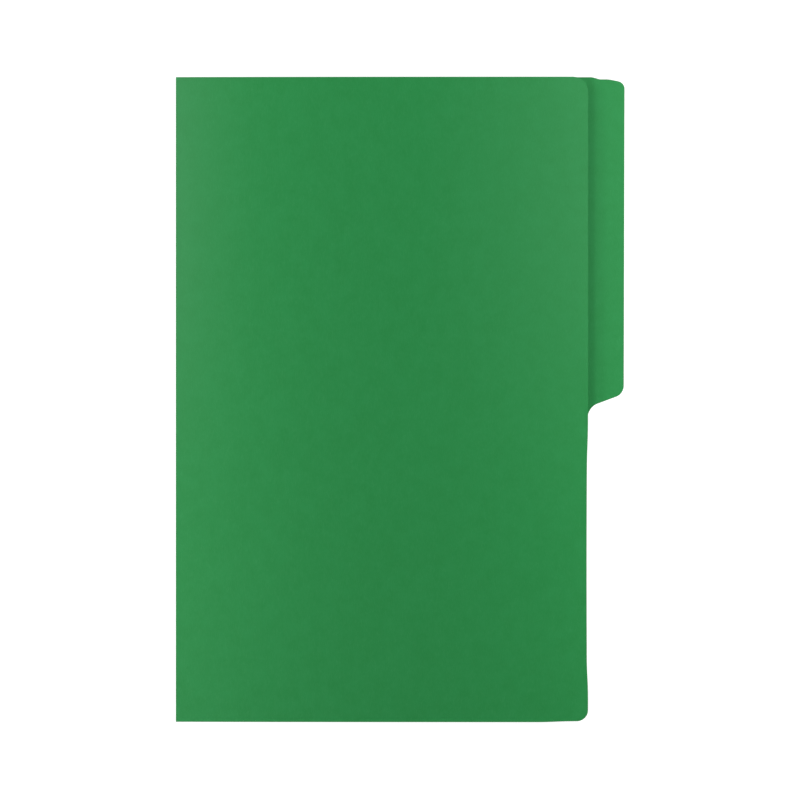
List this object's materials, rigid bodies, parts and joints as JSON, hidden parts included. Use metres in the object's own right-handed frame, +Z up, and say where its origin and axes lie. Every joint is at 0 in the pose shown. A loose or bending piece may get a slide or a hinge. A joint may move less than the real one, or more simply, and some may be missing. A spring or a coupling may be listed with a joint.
{
  "type": "document folder",
  "caption": "Half-cut tab document folder of green card: a back cover with an index tab, and a front cover that opens about a scored fold.",
  "frame": {"origin": "middle of the underside of the closed folder's bounding box, on the surface that it lies on", "axes": "+Z up through the covers, +Y along the fold towards the end with the tab, +X from the fold to the tab"},
  "size_m": [0.24, 0.345, 0.0052],
  "materials": {
    "dyed_card": "matte"
  },
  "bodies": {
    "back": {"back_cover": "dyed_card", "index_tab": "dyed_card", "fold_back_half": "dyed_card"},
    "front": {"front_cover": "dyed_card", "fold_front_half": "dyed_card"}
  },
  "joints": [
    {"name": "cover_fold", "type": "hinge", "parent": "back", "child": "front", "pos_m": [-0.12, 0, 0.0006], "axis": [0, -1, 0], "range_deg": [0, 177]}
  ]
}
